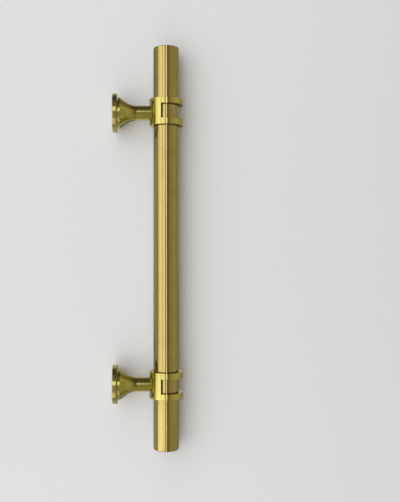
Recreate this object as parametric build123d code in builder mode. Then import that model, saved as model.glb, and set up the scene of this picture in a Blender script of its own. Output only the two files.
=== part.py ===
from build123d import *
import math
import os

# Door pull handle: a round bar carried by two windowed collars on turned, trumpet-shaped posts.
# The door's face is the plane Y = 0, and the handle stands out from it towards -Y.
# The bar runs along Z, and the origin lies on the door's face, midway between the two fixing holes.
# All lengths are in millimetres and all angles in degrees.

# Fixing
fixing_centres = 203.2
projection = 40.0  # from the door's face to the bar's axis

# Bar
bar_diameter = 19.0
bar_overhang = 48.4  # from each post's axis to the bar's end
bar_end_chamfer = 0.5

# Collar, with a window milled across its front
collar_bore_clearance = 0.05
collar_wall = 2.95
collar_height = 20.0
collar_edge_chamfer = 0.3
window_height = 10.8
window_setback = 4.0  # from the bar's axis back to the window's flat floor
window_edge_chamfer = 0.15
post_seat_margin = 0.3  # how far the flat seat lies below the last of the collar's round

# Backplate
backplate_diameter = 29.0
backplate_thickness = 3.5
backplate_front_chamfer = 0.6
backplate_bore_clearance = 0.1
backplate_rim_width = 4.0  # the ring on its back that bears on the door
backplate_relief_depth = 0.6

# Post
neck_diameter = 10.9
neck_seat_clearance = 0.03
flare_half_angle = 36.5
throat_radius = 14.0  # blends the flare into the neck
foot_diameter = 23.5
foot_thickness = 1.7
foot_edge_chamfer = 0.25
foot_lip = 0.4  # how far the foot stands out beyond the flare
groove_depth = 2.05  # the shadow groove under the foot, round the shoulder that it stands on
groove_height = 0.45
spigot_diameter = 12.0  # centres the backplate

# Threads, drawn at their outer diameter
fixing_thread_diameter = 6.0
fixing_thread_depth = 14.0
stud_diameter = 5.0
stud_end_chamfer = 0.6
stud_in_post = 8.0
stud_in_bar = 6.5
stud_thread_clearance = 0.02
stud_passing_clearance = 0.25
thread_run_out = 1.2  # how much deeper than its screw a blind hole is
drill_point_angle = 118.0

# Worked out from the sizes above
bar_length = fixing_centres + 2 * bar_overhang
bar_radius = bar_diameter / 2
collar_bore_radius = bar_radius + collar_bore_clearance
collar_radius = collar_bore_radius + collar_wall
neck_radius = neck_diameter / 2
neck_seat_radius = neck_radius + neck_seat_clearance
foot_radius = foot_diameter / 2
flare_radius = foot_radius - foot_lip
shoulder_radius = foot_radius - groove_depth
spigot_radius = spigot_diameter / 2
backplate_radius = backplate_diameter / 2
backplate_bore_radius = spigot_radius + backplate_bore_clearance
stud_radius = stud_diameter / 2
stud_thread_radius = stud_radius + stud_thread_clearance
stud_passing_radius = stud_radius + stud_passing_clearance
post_seat_depth = collar_radius - math.sqrt(collar_radius**2 - neck_seat_radius**2) + post_seat_margin
post_end = projection - collar_radius + post_seat_depth
stud_tip = projection - bar_radius + stud_in_bar
shoulder_top = backplate_thickness + groove_height
foot_top = shoulder_top + foot_thickness
throat_corner = foot_top + (flare_radius - neck_radius) / math.tan(math.radians(flare_half_angle))
mount_heights = {"upper": fixing_centres / 2, "lower": -fixing_centres / 2}


def facing_door(distance, height):
    """Plane on a post's axis at a distance from the door, with its normal towards the door."""
    return Plane(origin=(0, -distance, height), x_dir=(1, 0, 0), z_dir=(0, 1, 0))


def facing_room(distance, height):
    """Plane on a post's axis at a distance from the door, with its normal away from the door."""
    return Plane(origin=(0, -distance, height), x_dir=(1, 0, 0), z_dir=(0, -1, 0))


def turning_plane(height):
    """Plane through a post's axis: its X is the distance from the door and its Y the radius."""
    return Plane(origin=(0, 0, height), x_dir=(0, -1, 0), z_dir=(-1, 0, 0))


def post_axis(height):
    return Axis((0, 0, height), (0, -1, 0))


def corner_at(profile, distance, radius):
    """The corner of a turned profile nearest to a distance from the door and a radius."""
    return profile.vertices().sort_by_distance((distance, radius, 0))[0]


def drill(mouth, radius, depth):
    """Blind hole with a drill point, sunk into the part from the plane at its mouth."""
    point_height = radius / math.tan(math.radians(drill_point_angle / 2))
    with Locations(mouth):
        Hole(radius, depth)
    with Locations(mouth.offset(-depth)):
        Cone(0, radius, point_height, align=(Align.CENTER, Align.CENTER, Align.MAX), mode=Mode.SUBTRACT)


os.makedirs("parts", exist_ok=True)

# Bar: a solid round rod, tapped on its door side for the two studs
with BuildPart() as bar:
    with BuildSketch(Plane.XY.offset(-bar_length / 2)):
        with Locations((0, -projection)):
            Circle(bar_radius)
    extrude(amount=bar_length)
    chamfer(bar.edges().filter_by(GeomType.CIRCLE), bar_end_chamfer)
    for height in mount_heights.values():
        hole_mouth = facing_door(projection - bar_radius, height)
        drill(hole_mouth, stud_thread_radius, stud_in_bar + thread_run_out)

bar.part.label = "bar"
export_step(bar.part, "parts/bar.step")

for side, height in mount_heights.items():
    # Collar: two full rings round the bar, joined behind it by the web that the window leaves
    with BuildPart() as collar:
        with BuildSketch(Plane((0, -projection, height - collar_height / 2))):
            Circle(collar_radius)
        extrude(amount=collar_height)
        chamfer(collar.edges().filter_by(GeomType.CIRCLE), collar_edge_chamfer)
        with BuildSketch(Plane((0, -projection, height - collar_height / 2))):
            Circle(collar_bore_radius)
        extrude(amount=collar_height, mode=Mode.SUBTRACT)
        with BuildSketch(Plane((0, -projection, height - window_height / 2))):
            with Locations((0, window_setback)):
                Rectangle(4 * collar_radius, 4 * collar_radius, align=(Align.CENTER, Align.MAX))
        extrude(amount=window_height, mode=Mode.SUBTRACT)
        window_arcs = collar.edges(Select.LAST).filter_by(GeomType.CIRCLE)
        chamfer(window_arcs.group_by(SortBy.RADIUS)[-1], window_edge_chamfer)
        with Locations(facing_door(projection - collar_radius, height)):
            CounterBoreHole(stud_passing_radius, neck_seat_radius, post_seat_depth, collar_radius)

    collar.part.label = f"{side}_collar"
    export_step(collar.part, f"parts/{side}_collar.step")

    # Post: spigot, shoulder, foot, flare and neck, turned in one piece and tapped at both ends
    with BuildPart() as post:
        with BuildSketch(turning_plane(height)) as profile:
            with BuildLine():
                Polyline(
                    (0, 0),
                    (0, spigot_radius),
                    (backplate_thickness, spigot_radius),
                    (backplate_thickness, shoulder_radius),
                    (shoulder_top, shoulder_radius),
                    (shoulder_top, foot_radius),
                    (foot_top, foot_radius),
                    (foot_top, flare_radius),
                    (throat_corner, neck_radius),
                    (post_end, neck_radius),
                    (post_end, 0),
                    close=True,
                )
            make_face()
            fillet(corner_at(profile, throat_corner, neck_radius), throat_radius)
            chamfer(corner_at(profile, shoulder_top, foot_radius), foot_edge_chamfer)
            chamfer(corner_at(profile, foot_top, foot_radius), foot_edge_chamfer)
        revolve(axis=post_axis(height))
        drill(facing_door(0, height), fixing_thread_diameter / 2, fixing_thread_depth)
        drill(facing_room(post_end, height), stud_thread_radius, stud_in_post + thread_run_out)

    post.part.label = f"{side}_post"
    export_step(post.part, f"parts/{side}_post.step")

    # Backplate: a turned disc between the door and the post's foot, relieved behind its rim
    with BuildPart() as backplate:
        with BuildSketch(turning_plane(height)) as profile:
            with BuildLine():
                Polyline(
                    (backplate_relief_depth, backplate_bore_radius),
                    (backplate_relief_depth, backplate_radius - backplate_rim_width),
                    (0, backplate_radius - backplate_rim_width),
                    (0, backplate_radius),
                    (backplate_thickness, backplate_radius),
                    (backplate_thickness, backplate_bore_radius),
                    close=True,
                )
            make_face()
            chamfer(corner_at(profile, backplate_thickness, backplate_radius), backplate_front_chamfer)
        revolve(axis=post_axis(height))

    backplate.part.label = f"{side}_backplate"
    export_step(backplate.part, f"parts/{side}_backplate.step")

    # Stud: a headless screw that draws the post, the collar and the bar together
    with BuildPart() as stud:
        with BuildSketch(facing_room(post_end - stud_in_post, height)):
            Circle(stud_radius)
        extrude(amount=stud_tip - post_end + stud_in_post)
        chamfer(stud.edges().filter_by(GeomType.CIRCLE), stud_end_chamfer)

    stud.part.label = f"{side}_stud"
    export_step(stud.part, f"parts/{side}_stud.step")
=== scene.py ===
import math

import bmesh
import bpy
from mathutils import Matrix, Vector


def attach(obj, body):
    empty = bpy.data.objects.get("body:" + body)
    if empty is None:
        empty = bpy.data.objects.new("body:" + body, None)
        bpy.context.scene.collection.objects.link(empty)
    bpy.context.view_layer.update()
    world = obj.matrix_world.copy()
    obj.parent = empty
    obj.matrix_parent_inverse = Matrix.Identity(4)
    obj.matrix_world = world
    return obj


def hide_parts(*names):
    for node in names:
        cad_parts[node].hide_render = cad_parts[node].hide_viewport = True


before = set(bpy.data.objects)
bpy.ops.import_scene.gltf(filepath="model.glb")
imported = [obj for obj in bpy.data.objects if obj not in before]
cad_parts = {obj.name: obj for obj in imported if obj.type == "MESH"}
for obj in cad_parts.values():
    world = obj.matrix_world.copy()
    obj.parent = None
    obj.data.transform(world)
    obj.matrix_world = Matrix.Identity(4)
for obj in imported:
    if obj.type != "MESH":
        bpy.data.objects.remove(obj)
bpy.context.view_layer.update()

# The handle's sizes, in millimetres, as they are in the solids
FIXING_CENTRES = 203.2
PROJECTION = 40.0  # from the door's face to the bar's axis
BAR_RADIUS = 9.5
BAR_OVERHANG = 48.4  # from each post's axis to the bar's end
COLLAR_BORE_CLEARANCE = 0.05
COLLAR_WALL = 2.95
COLLAR_HEIGHT = 20.0
WINDOW_HEIGHT = 10.8
WINDOW_SETBACK = 4.0  # from the bar's axis back to the window's flat floor
BACKPLATE_RADIUS = 14.5
BACKPLATE_THICKNESS = 3.5
BACKPLATE_BORE_CLEARANCE = 0.1
BACKPLATE_RIM_WIDTH = 4.0  # the ring on its back that bears on the door
RELIEF_DEPTH = 0.6
NECK_RADIUS = 5.45
NECK_SEAT_CLEARANCE = 0.03
POST_SEAT_MARGIN = 0.3  # how far the flat seat lies below the last of the collar's round
FLARE_HALF_ANGLE = 36.5  # degrees
THROAT_RADIUS = 14.0  # blends the flare into the neck
FOOT_RADIUS = 11.75
FOOT_THICKNESS = 1.7
FOOT_LIP = 0.4  # how far the foot stands out beyond the flare
GROOVE_DEPTH = 2.05  # the shadow groove under the foot
GROOVE_HEIGHT = 0.45
SPIGOT_RADIUS = 6.0  # centres the backplate
FIXING_THREAD_RADIUS = 3.0
FIXING_THREAD_DEPTH = 14.0
STUD_RADIUS = 2.5
STUD_CHAMFER = 0.6
STUD_IN_POST = 8.0
STUD_IN_BAR = 6.5
STUD_THREAD_CLEARANCE = 0.02
STUD_PASSING_CLEARANCE = 0.25
RUN_OUT = 1.2  # how much deeper than its screw a blind hole is
DRILL_HALF_ANGLE = 59.0  # degrees

# Rounded edges, in millimetres
BAR_END_ROUND = 0.5
COLLAR_ROUND = 0.3
BACKPLATE_FRONT_ROUND = 0.6
BACKPLATE_BACK_ROUND = 0.3
RELIEF_ROUND = 0.1
NECK_END_ROUND = 0.15
FOOT_ROUND = 0.1
SPIGOT_ROUND = 0.15

# Thread turns, in millimetres
FIXING_PITCH = 1.0
FIXING_TURN_HEIGHT = 0.46
FIXING_LEAD_IN = 0.8
FIXING_TURNS_END = 12.5
LAST_TURN_FADE = 0.1
STUD_PITCH = 0.8
STUD_TURN_HEIGHT = 0.42
THREAD_FLAT = 0.1  # share of a pitch
STEPS_PER_PITCH = 8

# Worked out from the sizes above
BAR_LENGTH = FIXING_CENTRES + 2 * BAR_OVERHANG
COLLAR_BORE_RADIUS = BAR_RADIUS + COLLAR_BORE_CLEARANCE
COLLAR_RADIUS = COLLAR_BORE_RADIUS + COLLAR_WALL
BACKPLATE_BORE_RADIUS = SPIGOT_RADIUS + BACKPLATE_BORE_CLEARANCE
RELIEF_RADIUS = BACKPLATE_RADIUS - BACKPLATE_RIM_WIDTH
NECK_SEAT_RADIUS = NECK_RADIUS + NECK_SEAT_CLEARANCE
FLARE_RADIUS = FOOT_RADIUS - FOOT_LIP
SHOULDER_RADIUS = FOOT_RADIUS - GROOVE_DEPTH
SHOULDER_TOP = BACKPLATE_THICKNESS + GROOVE_HEIGHT
FOOT_TOP = SHOULDER_TOP + FOOT_THICKNESS
STUD_HOLE_RADIUS = STUD_RADIUS + STUD_THREAD_CLEARANCE
STUD_PASSING_RADIUS = STUD_RADIUS + STUD_PASSING_CLEARANCE
SEAT_DEPTH = COLLAR_RADIUS - math.sqrt(COLLAR_RADIUS**2 - NECK_SEAT_RADIUS**2) + POST_SEAT_MARGIN
POST_END = PROJECTION - COLLAR_RADIUS + SEAT_DEPTH
DRILL_SLOPE = math.tan(math.radians(DRILL_HALF_ANGLE))
MOUNTS = {"upper": FIXING_CENTRES / 2, "lower": -FIXING_CENTRES / 2}

# Fineness of the meshes
BAR_SEGMENTS = 256
POST_SEGMENTS = 192
CUTTER_SEGMENTS = 96
STUD_SEGMENTS = 64
WEB_SEGMENTS = 96
WINDOW_SEGMENTS = 160
BEVEL_SEGMENTS = 4
SHARP_ANGLE = 32.0  # degrees

MM = 0.001
CUTTER_OVERSHOOT = 1.0


# Mesh helpers
def rounded(corners):
    """Points of a profile whose corners are (distance, radius) or (distance, radius, round, steps)."""
    points = []
    for i, corner in enumerate(corners):
        at = Vector(corner[:2])
        if len(corner) == 2:
            points.append(at)
            continue
        size, steps = corner[2:]
        back = (Vector(corners[i - 1][:2]) - at).normalized()
        ahead = (Vector(corners[(i + 1) % len(corners)][:2]) - at).normalized()
        half = back.angle(ahead) / 2
        middle = at + (back + ahead).normalized() * size / math.sin(half)
        first = at + back * size / math.tan(half) - middle
        last = at + ahead * size / math.tan(half) - middle
        sweep = first.angle(last)
        for k in range(steps + 1):
            share = k / steps
            spoke = first * math.sin((1 - share) * sweep) + last * math.sin(share * sweep)
            points.append(middle + spoke / math.sin(sweep))
    return [(p.x, p.y) for p in points]


def on_post(height):
    """Puts a turned point on a post's axis: its distance from the door, then two across."""
    return lambda along, a, b: Vector((a, -along, height + b)) * MM


def on_bar(along, a, b):
    """Puts a turned point on the bar's axis: its height, then two across."""
    return Vector((a, b - PROJECTION, along)) * MM


def turn(bm, rows, place, segments, closed=False):
    """Adds a turned surface. A row is (distance, radius); its radius may be a function of the angle."""
    rings = []
    for along, radius in rows:
        if radius == 0:
            rings.append([bm.verts.new(place(along, 0, 0))] * segments)
            continue
        ring = []
        for k in range(segments):
            angle = 2 * math.pi * k / segments
            r = radius(angle) if callable(radius) else radius
            ring.append(bm.verts.new(place(along, r * math.cos(angle), r * math.sin(angle))))
        rings.append(ring)
    pairs = list(zip(rings, rings[1:]))
    if closed:
        pairs.append((rings[-1], rings[0]))
    for one, two in pairs:
        for k in range(segments):
            m = (k + 1) % segments
            corners = dict.fromkeys((one[k], one[m], two[m], two[k]))
            bm.faces.new(list(corners))


def mark_sharp(bm):
    bmesh.ops.recalc_face_normals(bm, faces=bm.faces)
    for face in bm.faces:
        face.smooth = True
    for edge in bm.edges:
        edge.smooth = edge.calc_face_angle(0.0) < math.radians(SHARP_ANGLE)


def new_object(name, bm):
    mesh = bpy.data.meshes.new(name)
    mark_sharp(bm)
    bm.to_mesh(mesh)
    bm.free()
    obj = bpy.data.objects.new(name, mesh)
    bpy.context.scene.collection.objects.link(obj)
    return obj


def apply_modifiers(obj):
    """Puts what the modifiers make of a mesh in its place."""
    graph = bpy.context.evaluated_depsgraph_get()
    made = bpy.data.meshes.new_from_object(obj.evaluated_get(graph))
    obj.modifiers.clear()
    old = obj.data
    obj.data = made
    bpy.data.meshes.remove(old)
    bm = bmesh.new()
    bm.from_mesh(made)
    mark_sharp(bm)
    bm.to_mesh(made)
    bm.free()


def cut(obj, profile, place):
    """Takes a turned form out of an object."""
    bm = bmesh.new()
    turn(bm, profile, place, CUTTER_SEGMENTS)
    cutter = new_object("cutter", bm)
    boolean = obj.modifiers.new("cut", "BOOLEAN")
    boolean.operation = "DIFFERENCE"
    boolean.solver = "EXACT"
    boolean.object = cutter
    apply_modifiers(obj)
    bpy.data.objects.remove(cutter)


def dress(obj, node, material):
    """Puts a finished piece in the place of its solid."""
    obj.data.materials.clear()
    obj.data.materials.append(material)
    weighted = obj.modifiers.new("weighted normals", "WEIGHTED_NORMAL")
    weighted.keep_sharp = True
    weighted.weight = 80
    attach(obj, "root")
    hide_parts(node)


# Pieces
def thread_wave(along, angle, pitch):
    """0 at a thread's root and 1 at its crest, with narrow flats on both."""
    share = (along / pitch - angle / (2 * math.pi)) % 1.0
    rise = (1 - abs(2 * share - 1) - THREAD_FLAT) / (1 - 2 * THREAD_FLAT)
    return min(max(rise, 0.0), 1.0)


def make_bar():
    """A solid rod with a drilled hole on its door side for each stud."""
    half = BAR_LENGTH / 2
    corners = [
        (-half, 0),
        (-half, BAR_RADIUS, BAR_END_ROUND, 6),
        (half, BAR_RADIUS, BAR_END_ROUND, 6),
        (half, 0),
    ]
    bm = bmesh.new()
    turn(bm, rounded(corners), on_bar, BAR_SEGMENTS)
    obj = new_object("bar_dressed", bm)
    mouth = PROJECTION - BAR_RADIUS
    outside = mouth - 3 * CUTTER_OVERSHOOT
    depth = STUD_IN_BAR + RUN_OUT
    hole = [
        (outside, 0),
        (outside, STUD_HOLE_RADIUS),
        (mouth + depth, STUD_HOLE_RADIUS),
        (mouth + depth + STUD_HOLE_RADIUS / DRILL_SLOPE, 0),
    ]
    for height in MOUNTS.values():
        cut(obj, hole, on_post(height))
    return obj


def make_collar(side, height):
    """Two rings and the web that joins them behind the window, then the seat for the post's neck."""
    levels = [-COLLAR_HEIGHT / 2, -WINDOW_HEIGHT / 2, WINDOW_HEIGHT / 2, COLLAR_HEIGHT / 2]
    web, front = WEB_SEGMENTS, WINDOW_SEGMENTS
    total = web + front
    rings = []
    for radius in (COLLAR_BORE_RADIUS, COLLAR_RADIUS):
        edge = math.acos(WINDOW_SETBACK / radius)
        angles = [-edge + 2 * edge * k / web for k in range(web)]
        angles += [edge + (2 * math.pi - 2 * edge) * k / front for k in range(front)]
        rings.append([(radius * math.sin(a), radius * math.cos(a)) for a in angles])
    bm = bmesh.new()
    weight = bm.edges.layers.float.new("bevel_weight_edge")
    grid = [[[bm.verts.new(on_bar(height + z, *p)) for p in ring] for ring in rings] for z in levels]

    def wall(low, high, ring, columns):
        for k in columns:
            m = (k + 1) % total
            bm.faces.new((grid[low][ring][k], grid[low][ring][m], grid[high][ring][m], grid[high][ring][k]))

    def shelf(level, columns):
        for k in columns:
            m = (k + 1) % total
            bm.faces.new((grid[level][0][k], grid[level][0][m], grid[level][1][m], grid[level][1][k]))

    everywhere, web_only, front_only = range(total), range(web), range(web, total)
    for ring in (0, 1):
        wall(0, 1, ring, everywhere)
        wall(1, 2, ring, web_only)
        wall(2, 3, ring, everywhere)
    shelf(0, everywhere)
    shelf(3, everywhere)
    shelf(1, front_only)
    shelf(2, front_only)
    for k in (0, web):
        bm.faces.new((grid[1][0][k], grid[2][0][k], grid[2][1][k], grid[1][1][k]))

    def soften(one, two, amount):
        bm.edges.get((one, two))[weight] = amount

    # The share of the round on the end edges and on the window's edges, for the bore and for the outside
    for ring, end_share, window_share in ((0, 0.4, 0.3), (1, 1.0, 0.5)):
        for k in everywhere:
            m = (k + 1) % total
            soften(grid[0][ring][k], grid[0][ring][m], end_share)
            soften(grid[3][ring][k], grid[3][ring][m], end_share)
            if k in front_only:
                soften(grid[1][ring][k], grid[1][ring][m], window_share)
                soften(grid[2][ring][k], grid[2][ring][m], window_share)
        for k in (0, web):
            soften(grid[1][ring][k], grid[2][ring][k], window_share)
    obj = new_object(f"{side}_collar_dressed", bm)
    bevel = obj.modifiers.new("bevel", "BEVEL")
    bevel.limit_method = "WEIGHT"
    bevel.width = COLLAR_ROUND * MM
    bevel.segments = BEVEL_SEGMENTS
    bevel.use_clamp_overlap = False
    apply_modifiers(obj)
    outside = PROJECTION - COLLAR_RADIUS - CUTTER_OVERSHOOT
    inside = PROJECTION - COLLAR_BORE_RADIUS + 2 * CUTTER_OVERSHOOT
    seat = [
        (outside, 0),
        (outside, NECK_SEAT_RADIUS),
        (POST_END, NECK_SEAT_RADIUS),
        (POST_END, STUD_PASSING_RADIUS),
        (inside, STUD_PASSING_RADIUS),
        (inside, 0),
    ]
    cut(obj, seat, on_post(height))
    return obj


def make_post(side, height):
    """One turning from its neck to its spigot, with real thread turns in the fixing hole."""
    stud_hole_end = POST_END - STUD_IN_POST - RUN_OUT
    throat = FOOT_TOP + (FLARE_RADIUS - NECK_RADIUS) / math.tan(math.radians(FLARE_HALF_ANGLE))
    rows = rounded([
        (stud_hole_end - STUD_HOLE_RADIUS / DRILL_SLOPE, 0),
        (stud_hole_end, STUD_HOLE_RADIUS),
        (POST_END, STUD_HOLE_RADIUS),
        (POST_END, NECK_RADIUS, NECK_END_ROUND, 3),
        (throat, NECK_RADIUS, THROAT_RADIUS, 28),
        (FOOT_TOP, FLARE_RADIUS),
        (FOOT_TOP, FOOT_RADIUS, FOOT_ROUND, 5),
        (SHOULDER_TOP, FOOT_RADIUS, FOOT_ROUND, 5),
        (SHOULDER_TOP, SHOULDER_RADIUS),
        (BACKPLATE_THICKNESS, SHOULDER_RADIUS),
        (BACKPLATE_THICKNESS, SPIGOT_RADIUS),
        (0, SPIGOT_RADIUS, SPIGOT_ROUND, 3),
    ])

    def tapped(along):
        height_here = FIXING_TURN_HEIGHT * min(along / FIXING_LEAD_IN, 1.0)
        return lambda angle: FIXING_THREAD_RADIUS - height_here * thread_wave(along, angle, FIXING_PITCH)

    rows.append((0, FIXING_THREAD_RADIUS))
    for k in range(1, int(FIXING_TURNS_END / FIXING_PITCH * STEPS_PER_PITCH)):
        along = k * FIXING_PITCH / STEPS_PER_PITCH
        rows.append((along, tapped(along)))
    crest_radius = FIXING_THREAD_RADIUS - FIXING_TURN_HEIGHT
    rows.append((FIXING_TURNS_END + LAST_TURN_FADE, crest_radius))
    rows.append((FIXING_THREAD_DEPTH, crest_radius))
    rows.append((FIXING_THREAD_DEPTH + FIXING_THREAD_RADIUS / DRILL_SLOPE, 0))
    bm = bmesh.new()
    turn(bm, rows, on_post(height), POST_SEGMENTS)
    return new_object(f"{side}_post_dressed", bm)


def make_backplate(side, height):
    """A turned disc, relieved behind its rim."""
    corners = [
        (RELIEF_DEPTH, BACKPLATE_BORE_RADIUS),
        (RELIEF_DEPTH, RELIEF_RADIUS),
        (0, RELIEF_RADIUS, RELIEF_ROUND, 3),
        (0, BACKPLATE_RADIUS, BACKPLATE_BACK_ROUND, 5),
        (BACKPLATE_THICKNESS, BACKPLATE_RADIUS, BACKPLATE_FRONT_ROUND, 6),
        (BACKPLATE_THICKNESS, BACKPLATE_BORE_RADIUS),
    ]
    bm = bmesh.new()
    turn(bm, rounded(corners), on_post(height), POST_SEGMENTS, closed=True)
    return new_object(f"{side}_backplate_dressed", bm)


def make_stud(side, height):
    """A headless screw with real thread turns and chamfered ends."""
    start = POST_END - STUD_IN_POST
    end = PROJECTION - BAR_RADIUS + STUD_IN_BAR
    count = int((end - start) / STUD_PITCH * STEPS_PER_PITCH)

    def threaded(along):
        envelope = STUD_RADIUS - STUD_CHAMFER + min(along - start, end - along, STUD_CHAMFER)

        def radius(angle):
            depth = STUD_TURN_HEIGHT * (1 - thread_wave(along, angle, STUD_PITCH))
            return min(envelope, STUD_RADIUS - depth)

        return radius

    rows = [(start, 0)]
    for k in range(count + 1):
        along = start + (end - start) * k / count
        rows.append((along, threaded(along)))
    rows.append((end, 0))
    bm = bmesh.new()
    turn(bm, rows, on_post(height), STUD_SEGMENTS)
    return new_object(f"{side}_stud_dressed", bm)


# Shader nodes
def rgba(colour, brightness=1.0):
    return (*[brightness * c for c in colour], 1.0)


class Nodes:
    """Short calls for building a node tree."""

    def __init__(self, tree):
        self.tree = tree
        tree.nodes.clear()

    def add(self, kind, inputs=None, **settings):
        node = self.tree.nodes.new(kind)
        for key, value in settings.items():
            setattr(node, key, value)
        for key, value in (inputs or {}).items():
            if isinstance(value, bpy.types.NodeSocket):
                self.tree.links.new(value, node.inputs[key])
            else:
                node.inputs[key].default_value = value
        return node

    def math(self, operation, a, b=0.0, clamp=False):
        return self.add("ShaderNodeMath", {0: a, 1: b}, operation=operation, use_clamp=clamp).outputs[0]

    def remap(self, value, low, high, to_low=0.0, to_high=1.0, smooth=True):
        kind = "SMOOTHSTEP" if smooth else "LINEAR"
        inputs = {"Value": value, "From Min": low, "From Max": high, "To Min": to_low, "To Max": to_high}
        return self.add("ShaderNodeMapRange", inputs, interpolation_type=kind).outputs["Result"]

    def mix(self, share, one, two):
        """Mixes two colours. The numbers are the sockets of the node's colour form."""
        return self.add("ShaderNodeMix", {0: share, 6: one, 7: two}, data_type="RGBA").outputs[2]

    def noise(self, vector, scale, detail=3.0, roughness=0.5):
        inputs = {"Vector": vector, "Scale": scale, "Detail": detail, "Roughness": roughness}
        return self.add("ShaderNodeTexNoise", inputs).outputs["Fac"]


# Materials of the pieces
ROUGHER_WHERE_DULL = 0.04


def metal(name, colour, dull_colour, roughness, roughness_range, stretch, grain_strength):
    """Brass or steel with fine tool marks. The stretch squeezes the marks across the way they run."""
    material = bpy.data.materials.new(name)
    material.use_nodes = True
    n = Nodes(material.node_tree)
    place = n.add("ShaderNodeTexCoord").outputs["Object"]
    marks_at = n.add("ShaderNodeMapping", {"Vector": place, "Scale": stretch}).outputs["Vector"]
    marks = n.noise(marks_at, scale=1.0, detail=4.0, roughness=0.65)
    smudges = n.noise(place, scale=90.0, detail=4.0, roughness=0.6)
    spots = n.noise(place, scale=900.0, detail=2.0, roughness=0.5)
    dull = n.remap(smudges, low=0.45, high=0.75)
    dull = n.math("ADD", dull, n.remap(spots, low=0.66, high=0.76, to_high=0.5), clamp=True)
    smoothest, roughest = roughness_range
    rough = n.remap(
        marks, low=0.3, high=0.7, to_low=roughness + smoothest, to_high=roughness + roughest, smooth=False
    )
    rougher = n.math("MULTIPLY", dull, ROUGHER_WHERE_DULL)
    bump = n.add("ShaderNodeBump", {"Strength": grain_strength, "Distance": 0.00002, "Height": marks})
    shader = n.add("ShaderNodeBsdfPrincipled", {
        "Base Color": n.mix(dull, rgba(colour), rgba(dull_colour)),
        "Metallic": 1.0,
        "Roughness": n.math("ADD", rough, rougher),
        "Normal": bump.outputs["Normal"],
    })
    n.add("ShaderNodeOutputMaterial", {"Surface": shader.outputs[0]})
    return material


def satin_brass():
    return metal(
        "satin_brass",
        colour=(0.76, 0.59, 0.216),
        dull_colour=(0.70, 0.53, 0.19),
        roughness=0.08,
        roughness_range=(-0.02, 0.05),
        stretch=(6000, 6000, 60),
        grain_strength=0.25,
    )


def polished_brass(name, roughness, stretch):
    return metal(
        name,
        colour=(0.93, 0.80, 0.25),
        dull_colour=(0.86, 0.72, 0.22),
        roughness=roughness,
        roughness_range=(-0.01, 0.03),
        stretch=stretch,
        grain_strength=0.12,
    )


def stud_steel():
    return metal(
        "stud_steel",
        colour=(0.56, 0.56, 0.57),
        dull_colour=(0.45, 0.45, 0.44),
        roughness=0.3,
        roughness_range=(-0.05, 0.1),
        stretch=(3000, 3000, 3000),
        grain_strength=0.2,
    )


# The camera looks square at the handle's side. The picture's directions also place the light.
TOWARDS_CAMERA = Vector((-1, 0, 0))
RIGHT = Vector((0, -1, 0))
UP = Vector((0, 0, 1))
CAMERA_DISTANCE = 530.0
CAMERA_RIGHT = 25.7
CAMERA_UP = -1.8
CAMERA_LENS = 50.70
CAMERA_SENSOR = 36.0
CAMERA_SHIFT = 0.1056  # the handle stands left of the picture's middle


def make_camera():
    data = bpy.data.cameras.new("camera")
    data.lens = CAMERA_LENS
    data.sensor_width = CAMERA_SENSOR
    data.shift_x = CAMERA_SHIFT
    camera = bpy.data.objects.new("camera", data)
    bpy.context.scene.collection.objects.link(camera)
    at = TOWARDS_CAMERA * CAMERA_DISTANCE + RIGHT * CAMERA_RIGHT + UP * CAMERA_UP
    axes = Matrix((RIGHT, UP, TOWARDS_CAMERA)).transposed().to_4x4()
    camera.matrix_world = Matrix.Translation(at * MM) @ axes
    bpy.context.scene.camera = camera


# The handle lies on its backplates' rims and its collars, so the table leans a little.
TABLE_LEAN = math.radians(3.056)
TABLE_NORMAL = Vector((-math.cos(TABLE_LEAN), math.sin(TABLE_LEAN), 0))
TABLE_RIGHT = Vector((-math.sin(TABLE_LEAN), -math.cos(TABLE_LEAN), 0))
TABLE_REACH = 1500
TABLE_CLEARANCE = 0.02
FLOOR_HEIGHT = -200
FLOOR_REACH = 9000
PALE = (0.785, 0.789, 0.818)
GRAIN_CONTRAST = 0.015


def pale_surface(name, one_sided):
    """Matt and nearly white, with faint grain. A one-sided surface is clear from behind."""
    material = bpy.data.materials.new(name)
    material.use_nodes = True
    n = Nodes(material.node_tree)
    place = n.add("ShaderNodeTexCoord").outputs["Object"]
    grain = n.noise(place, scale=400.0)
    tint = n.mix(grain, rgba(PALE, 1 - GRAIN_CONTRAST), rgba(PALE, 1 + GRAIN_CONTRAST))
    matt = {"Base Color": tint, "Roughness": 0.9, "Specular IOR Level": 0.0}
    surface = n.add("ShaderNodeBsdfPrincipled", matt).outputs[0]
    if one_sided:
        behind = n.add("ShaderNodeNewGeometry").outputs["Backfacing"]
        clear = n.add("ShaderNodeBsdfTransparent").outputs[0]
        surface = n.add("ShaderNodeMixShader", {0: behind, 1: surface, 2: clear}).outputs[0]
    n.add("ShaderNodeOutputMaterial", {"Surface": surface})
    return material


def make_flat(name, corners, one_sided):
    """A pale flat that catches light and shadow, but isn't mirrored in the metal."""
    mesh = bpy.data.meshes.new(name)
    mesh.from_pydata([c * MM for c in corners], [], [(0, 1, 2, 3)])
    mesh.materials.append(pale_surface(name, one_sided))
    obj = bpy.data.objects.new(name, mesh)
    bpy.context.scene.collection.objects.link(obj)
    obj.visible_glossy = False
    obj.visible_diffuse = False
    obj.visible_shadow = False
    return obj


def make_table():
    """The pale table behind the handle in the photograph, seen from its front only."""
    below = COLLAR_RADIUS + PROJECTION * math.sin(TABLE_LEAN) + TABLE_CLEARANCE
    middle = TABLE_NORMAL * -below
    left, right = -TABLE_REACH, TABLE_REACH
    ends = ((left, FLOOR_HEIGHT), (right, FLOOR_HEIGHT), (right, TABLE_REACH), (left, TABLE_REACH))
    return make_flat("table", [middle + TABLE_RIGHT * a + UP * b for a, b in ends], one_sided=True)


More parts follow.
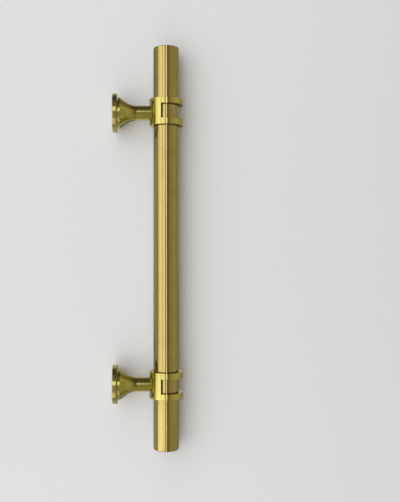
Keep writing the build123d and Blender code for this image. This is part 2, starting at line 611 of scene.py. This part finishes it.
def make_floor():
    """The floor that the other views show under the handle."""
    near, far = -FLOOR_REACH, FLOOR_REACH
    ends = ((near, near), (far, near), (far, far), (near, far))
    return make_flat("floor", [Vector((a, b, FLOOR_HEIGHT)) for a, b in ends], one_sided=False)


# Colours of light
NEUTRAL = (1.0, 1.02, 1.06)
WARM = (1.0, 0.95, 0.64)
GOLDEN = (1.0, 0.94, 0.5)
DARK = (0.03, 0.026, 0.014)
BLACK = (0.0, 0.0, 0.0)
BACKDROP = (0.72, 0.72, 0.72)

# The walls round the handle: how far turned from the camera's direction, brightness, colour
WALLS = [
    (-180, 0.40, NEUTRAL),
    (-150, 0.36, NEUTRAL),
    (-125, 0.31, NEUTRAL),
    (-105, 0.33, NEUTRAL),
    (-86, 0.27, WARM),
    (-10, 0.22, WARM),
    (6, 0.10, GOLDEN),
    (16, 0.125, GOLDEN),
    (25, 0.19, WARM),
    (36, 0.26, WARM),
    (60, 0.30, WARM),
    (76, 0.33, WARM),
    (96, 0.29, WARM),
    (130, 0.22, NEUTRAL),
    (155, 0.27, NEUTRAL),
    (179, 0.39, NEUTRAL),
]

# Patches of light: turned from and to, softness of both edges, lifted from and to, softness of both,
# share, colour
PATCHES = [
    # Low down on the right
    ((6, 30), (4, 16), (-75, -28), (20, 20), 1.0, (0.21, 0.20, 0.13)),
    ((42, 104), (20, 20), (-80, -21), (20, 16), 1.0, (0.235, 0.22, 0.16)),
    # What the flares mirror
    ((67, 78), (3, 3), (-20, 20), (6, 6), 1.0, (0.245, 0.233, 0.157)),
    # Behind the handle, on the right and then on the left
    ((150, 178.5), (16, 1.6), (-40, -2), (10, 4), 1.0, (0.09, 0.085, 0.06)),
    ((-150, -108), (10, 10), (7.5, 60), (4, 20), 1.0, (0.21, 0.21, 0.21)),
    ((-150, -108), (10, 10), (-12.5, -6.5), (3, 3), 1.0, (0.21, 0.21, 0.21)),
    # The large soft panel on the left: its glow, the panel itself and a bar across it
    ((-79, -25), (12, 16), (-80, 78), (16, 16), 1.0, (0.55, 0.55, 0.52)),
    ((-70, -3), (36, 3), (-28, 40), (24, 30), 1.0, (1.02, 1.02, 1.02)),
    ((-39, -31), (4, 4), (-34, 34), (30, 30), 0.38, DARK),
    # The panel's brighter lower part, and its darker left edge above that
    ((-79, -31), (12, 8), (-24, -12.4), (6, 1.2), 1.0, (1.20, 1.20, 1.14)),
    ((-90, -74), (8, 8), (-9.7, 4), (0.6, 6), 0.4, (0.2, 0.19, 0.1)),
]

# The camera's stand, dark against the panel: the same values, without a colour
STAND_PATCHES = [
    ((-12, -4.3), (8, 1.5), (-50, 90), (20, 4), 1.0),
    ((-18, -9), (8, 8), (13, 60), (6, 20), 0.45),
]
STAND_LOW = (0.50, 0.50, 0.48)
STAND_HIGH = (0.26, 0.26, 0.24)

# Strips of light: aside of the camera's direction from and to, softness, lifted from and to,
# softness of both edges, brightness, colour
STRIPS = [
    # What backplates, feet and necks all mirror
    (-4.3, 2.0, 1.5, (-85, 90), (10, 4), 0.05, NEUTRAL),
    (-4.3, 2.0, 1.5, (-85, 50), (10, 16), 0.12, WARM),
    (-4.3, -1.5, 1.5, (-85, -2), (10, 8), 0.21, NEUTRAL),
    (-1.5, 2.0, 1.5, (-85, -2), (10, 8), 0.21, GOLDEN),
    (-4.3, -1.5, 1.5, (-74, -40), (14, 18), 0.68, NEUTRAL),
    # Darker for the feet, and brighter for the backplates
    (-2.4, -1.7, 0.2, (-76, -5), (14, 8), 0.01, WARM),
    (-4.3, -2.4, 0.2, (-38, -5), (10, 8), 0.30, NEUTRAL),
    (-4.3, -2.4, 0.2, (-76, -40), (14, 16), 0.80, NEUTRAL),
    (-4.3, -2.4, 0.2, (30, 66), (12, 12), 0.17, NEUTRAL),
    # The bright spots on backplates and feet, then on necks, and the dark above the spots on the feet
    (-4.3, -0.9, 1.5, (3, 27), (10, 10), 0.90, NEUTRAL),
    (-0.9, 1.5, 1.5, (7, 25), (12, 12), 0.42, NEUTRAL),
    (-2.4, -1.7, 0.2, (34, 90), (14, 4), 0.01, WARM),
]


class Studio(Nodes):
    """The world as light by direction, in degrees: turned towards the picture's right, lifted upwards."""

    def __init__(self, tree):
        super().__init__(tree)
        self.rays = self.add("ShaderNodeLightPath").outputs
        self.way = self.add("ShaderNodeTexCoord").outputs["Generated"]
        to_right = self.part_along(RIGHT)
        turned = self.math("ARCTAN2", to_right, self.part_along(TOWARDS_CAMERA))
        self.turned = self.in_degrees(turned)
        self.lift = self.in_degrees(self.math("ARCSINE", self.part_along(UP)))
        self.aside = self.in_degrees(to_right)
        away = self.math("ABSOLUTE", self.turned)
        self.in_front = self.remap(away, low=80.0, high=100.0, to_low=1.0, to_high=0.0)
        self.behind = self.remap(away, low=120.0, high=160.0)
        self.light = None

    def part_along(self, direction):
        inputs = {0: self.way, 1: direction}
        return self.add("ShaderNodeVectorMath", inputs, operation="DOT_PRODUCT").outputs["Value"]

    def in_degrees(self, value):
        return self.math("MULTIPLY", value, math.degrees(1))

    def between(self, value, low, high, soft_low, soft_high):
        """1 between two angles and 0 outside, with soft edges centred on them."""
        rise = self.remap(value, low - soft_low / 2, low + soft_low / 2)
        fall = self.remap(value, high - soft_high / 2, high + soft_high / 2, 1.0, 0.0)
        return self.math("MULTIPLY", rise, fall)

    def patch(self, turned, turned_soft, lift, lift_soft, share):
        """A share of light between two turns and two lifts."""
        across = self.between(self.turned, *turned, *turned_soft)
        inside = self.math("MULTIPLY", across, self.between(self.lift, *lift, *lift_soft))
        return self.math("MULTIPLY", inside, share)

    def strip(self, low, high, soft, lift, lift_soft):
        """A narrow strip in front, by how far aside of the camera's direction it is."""
        across = self.math("MULTIPLY", self.between(self.aside, low, high, soft, soft), self.in_front)
        return self.math("MULTIPLY", across, self.between(self.lift, *lift, *lift_soft))

    def paint(self, share, colour):
        self.light = self.mix(share, self.light, colour)


def paint_walls(studio):
    """Dim and warm on the right, paler behind the table, darker overhead and underneath."""
    place = studio.remap(studio.turned, low=-180.0, high=180.0, smooth=False)
    ramp = studio.add("ShaderNodeValToRGB", {0: place})
    stops = ramp.color_ramp.elements
    stops.remove(stops[-1])
    for angle, brightness, colour in WALLS:
        stop = stops[0] if angle == -180 else stops.new((angle + 180) / 360)
        stop.color = rgba(colour, brightness)
    studio.light = ramp.outputs["Color"]
    lowered_behind = studio.math("MULTIPLY", studio.behind, 16.0)
    overhead = studio.math("SUBTRACT", studio.lift, lowered_behind)
    studio.paint(studio.remap(overhead, low=22.0, high=64.0, to_high=0.9), rgba(DARK))
    studio.paint(studio.remap(studio.lift, low=-80.0, high=-40.0, to_low=0.3, to_high=0.0), rgba(DARK))


def paint_stand(studio):
    """Darker towards its top."""
    upwards = studio.remap(studio.lift, low=-22.0, high=22.0)
    stand_light = studio.mix(upwards, rgba(STAND_LOW), rgba(STAND_HIGH))
    for values in STAND_PATCHES:
        studio.paint(studio.patch(*values), stand_light)


def dim_second_reflections(studio):
    """Dims what pieces mirror of each other: most at low tilts, least at steep ones, half from behind."""
    twice = studio.math("GREATER_THAN", studio.rays["Ray Depth"], 2.5)
    metal_only = studio.math("LESS_THAN", studio.rays["Diffuse Depth"], 0.5)
    again = studio.math("MULTIPLY", twice, metal_only)
    tilt = studio.math("ABSOLUTE", studio.lift)
    dimmed = studio.remap(tilt, low=18.0, high=60.0, to_low=0.8, to_high=0.12, smooth=False)
    towards_half = studio.math("SUBTRACT", 0.5, dimmed)
    dimmed = studio.math("ADD", dimmed, studio.math("MULTIPLY", studio.behind, towards_half))
    studio.paint(studio.math("MULTIPLY", again, dimmed), rgba(BLACK))


def make_world():
    world = bpy.data.worlds.new("studio")
    bpy.context.scene.world = world
    world.use_nodes = True
    studio = Studio(world.node_tree)
    paint_walls(studio)
    for *values, colour in PATCHES:
        studio.paint(studio.patch(*values), rgba(colour))
    paint_stand(studio)
    for *values, brightness, colour in STRIPS:
        studio.paint(studio.strip(*values), rgba(colour, brightness))
    dim_second_reflections(studio)
    studio.paint(studio.rays["Is Camera Ray"], rgba(BACKDROP))
    background = studio.add("ShaderNodeBackground", {"Color": studio.light, "Strength": 1.0})
    studio.add("ShaderNodeOutputWorld", {"Surface": background.outputs[0]})


# Lamps: angles in degrees, distances and sizes in metres
def place_lamp(name, kind, turned, lift, distance, power, lit):
    """A lamp that faces the handle and lights only some of the objects."""
    data = bpy.data.lights.new(name, kind)
    data.energy = power
    lamp = bpy.data.objects.new(name, data)
    bpy.context.scene.collection.objects.link(lamp)
    around, up = math.radians(turned), math.radians(lift)
    level = TOWARDS_CAMERA * math.cos(around) + RIGHT * math.sin(around)
    way = level * math.cos(up) + UP * math.sin(up)
    lamp.location = way * distance
    lamp.rotation_mode = "QUATERNION"
    lamp.rotation_quaternion = way.to_track_quat("Z", "Y")
    lamp.visible_camera = False
    receivers = bpy.data.collections.new(f"{name}_receivers")
    for obj in lit:
        receivers.objects.link(obj)
    lamp.light_linking.receiver_collection = receivers
    return lamp


def make_soft_lamp(name, turned, lift, distance, size, power, lit):
    """A square lamp for the table, which leaves the metal to the studio."""
    lamp = place_lamp(name, "AREA", turned, lift, distance, power, lit)
    lamp.data.shape = "SQUARE"
    lamp.data.size = size
    lamp.visible_glossy = False


def make_sky_lamp(power, lit):
    """A soft sun straight overhead for the floor, which leaves the metal to the studio."""
    lamp = place_lamp("sky_lamp", "SUN", turned=0, lift=90, distance=3.0, power=power, lit=lit)
    lamp.data.angle = math.radians(60)
    lamp.visible_glossy = False


def make_strip_lamp(name, turned, width, height, brightness, lit):
    """An upright strip one metre from the bar, which only the given pieces mirror."""
    power = brightness * math.pi * width * height
    lamp = place_lamp(name, "AREA", turned, lift=0, distance=1.0, power=power, lit=lit)
    lamp.data.shape = "RECTANGLE"
    lamp.data.size = width
    lamp.data.size_y = height
    lamp.location += RIGHT * PROJECTION * MM


make_camera()
table = make_table()
floor = make_floor()
make_world()
make_soft_lamp("side_lamp", turned=-34, lift=-4, distance=1.3, size=1.6, power=6.8, lit=[table])
make_soft_lamp("front_lamp", turned=0, lift=0, distance=1.3, size=0.4, power=1.5, lit=[table])
make_soft_lamp("top_lamp", turned=-10, lift=55, distance=0.75, size=0.55, power=0.9, lit=[table])
make_soft_lamp("low_lamp", turned=-10, lift=-55, distance=0.75, size=0.55, power=0.9, lit=[table])
make_sky_lamp(power=1.7, lit=[floor])
bpy.context.scene.view_settings.view_transform = "Standard"

bar_metal = satin_brass()
post_metal = polished_brass("polished_brass_post", roughness=0.08, stretch=(250, 9000, 250))
collar_metal = polished_brass("polished_brass_collar", roughness=0.07, stretch=(250, 250, 9000))
stud_metal = stud_steel()

bar = make_bar()
dress(bar, "bar", bar_metal)
upright_pieces = [bar]
for side, height in MOUNTS.items():
    collar = make_collar(side, height)
    upright_pieces.append(collar)
    dress(collar, f"{side}_collar", collar_metal)
    dress(make_post(side, height), f"{side}_post", post_metal)
    dress(make_backplate(side, height), f"{side}_backplate", post_metal)
    dress(make_stud(side, height), f"{side}_stud", stud_metal)

make_strip_lamp("strip_lamp", turned=3.1, width=0.078, height=1.2, brightness=1.3, lit=upright_pieces)
make_strip_lamp("right_lamp", turned=72.5, width=0.193, height=0.73, brightness=0.08, lit=upright_pieces)
